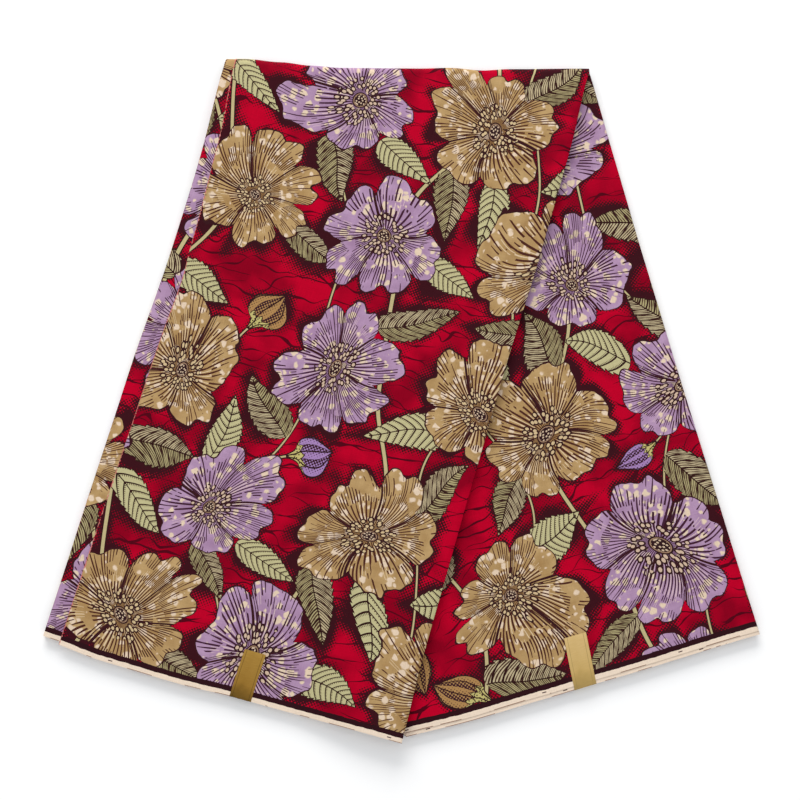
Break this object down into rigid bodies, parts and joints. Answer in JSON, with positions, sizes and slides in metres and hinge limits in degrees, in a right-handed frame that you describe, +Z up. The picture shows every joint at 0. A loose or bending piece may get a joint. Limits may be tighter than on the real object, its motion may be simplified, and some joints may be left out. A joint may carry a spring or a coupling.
{
  "type": "folded length of wax print fabric",
  "caption": "Wax print cotton folded to and fro into a flat strip, folded once in half and splayed into an upside-down V, with foil stickers over the selvedge",
  "frame": {"origin": "middle of the footprint's box, on the surface that the cloth lies on", "axes": "+Z up out of the surface; +Y from the splayed selvedge ends to the top fold; +X to the right, so that the front leg runs to -X -Y and the back leg to +X -Y"},
  "size_m": [0.6578, 0.6522, 0.0137],
  "materials": {
    "printed_cotton": "smooth plain-weave cotton with a light wax finish, floral wax print on a red ground, cream selvedges",
    "gold_foil": "satin gold foil sticker, bare of words"
  },
  "bodies": {
    "root": {"front_panel": "printed_cotton", "folded_layers": "printed_cotton", "back_panel": "printed_cotton", "label_front": "gold_foil", "label_back": "gold_foil"}
  },
  "joints": []
}
